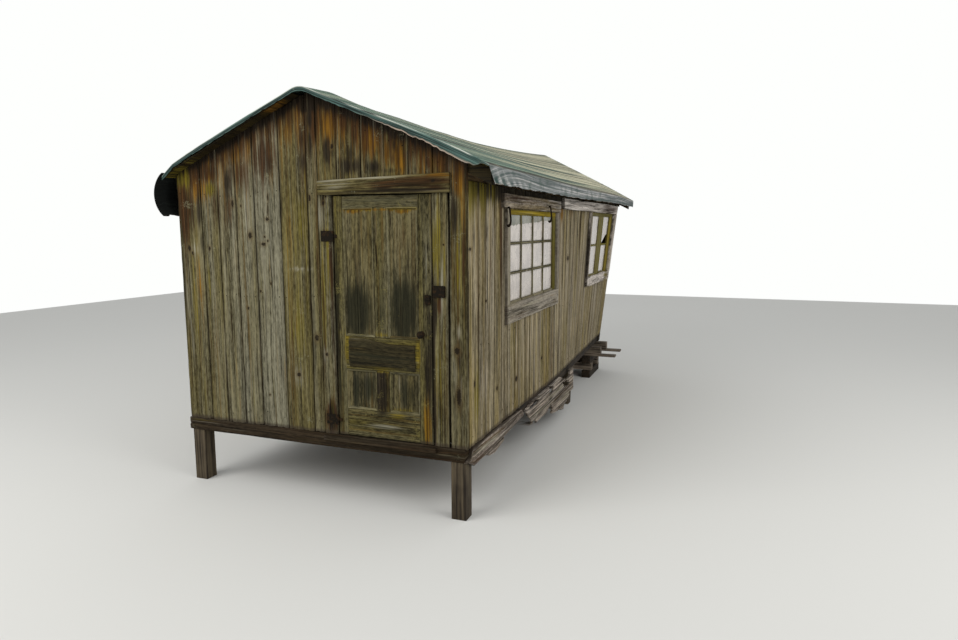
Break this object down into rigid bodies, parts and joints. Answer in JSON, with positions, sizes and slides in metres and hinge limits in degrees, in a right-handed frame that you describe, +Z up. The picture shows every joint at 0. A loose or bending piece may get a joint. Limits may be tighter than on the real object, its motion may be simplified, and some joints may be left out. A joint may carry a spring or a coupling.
{
  "type": "boathouse",
  "caption": "Small board-sided boathouse on posts, racked to one side at the lake end, with a low gable roof in green roll roofing, a panelled front door and two side windows.",
  "frame": {"origin": "centre of the building's bounding box, on the lowest ground under its posts", "axes": "+Z up, +Y from the door gable towards the lake end, +X towards the wall with the two windows"},
  "size_m": [2.8915, 5.7, 3.1111],
  "materials": {
    "base_timber": "rough, damp and weathered",
    "sill_timber": "dark reddish brown, damp",
    "inside_timber": "rough sawn, dusty",
    "grey_plank": "silvery grey, split and rotten",
    "front_boards": "bare weathered boards, grey beige with brown stains",
    "gable_boards": "orange brown and black stained boards",
    "side_boards": "bare weathered boards, olive and yellow brown",
    "roofing": "green grey mineral roll roofing, wrinkled and streaked",
    "casing_boards": "weathered grey boards",
    "sash_wood": "flaking yellow olive paint",
    "window_glass": "hazy old glass",
    "iron": "rusty black iron",
    "door_wood": "dark weathered door wood with lichen"
  },
  "bodies": {
    "building": {"posts": "base_timber", "crib_timbers": "base_timber", "crib_blocks": "base_timber", "skids": "base_timber", "front_sill": "sill_timber", "back_sill": "sill_timber", "floor_joists": "base_timber", "floor_boards": "inside_timber", "threshold": "sill_timber", "skirt_plank": "grey_plank", "rotten_timber": "grey_plank", "front_studs": "inside_timber", "right_studs": "inside_timber", "left_studs": "inside_timber", "back_studs": "inside_timber", "top_plates": "inside_timber", "front_wall_left": "front_boards", "front_gable": "gable_boards", "corner_board": "front_boards", "door_trims": "front_boards", "door_header": "gable_boards", "right_wall_front": "side_boards", "right_wall_rear": "side_boards", "left_wall_front": "side_boards", "left_wall_rear": "side_boards", "back_wall": "front_boards", "right_rafters": "inside_timber", "left_rafters": "inside_timber", "ridge_board": "inside_timber", "roof_boards": "inside_timber", "roofing": "roofing", "eave_flap_right": "roofing", "eave_flap_left": "roofing", "window1_casing": "casing_boards", "window1_sash": "sash_wood", "window1_glass": "window_glass", "window2_casing": "casing_boards", "window2_sash": "sash_wood", "window2_glass": "window_glass", "frieze_boards": "casing_boards", "window_hooks": "iron", "door_irons": "iron"},
    "door": {"door_frame": "door_wood", "door_panels": "door_wood", "door_hardware": "iron"}
  },
  "joints": [
    {"name": "door_hinge", "type": "hinge", "parent": "building", "child": "door", "pos_m": [0.1015, -2.757, 1.42], "axis": [0, 0, -1], "range_deg": [0, 105]}
  ]
}
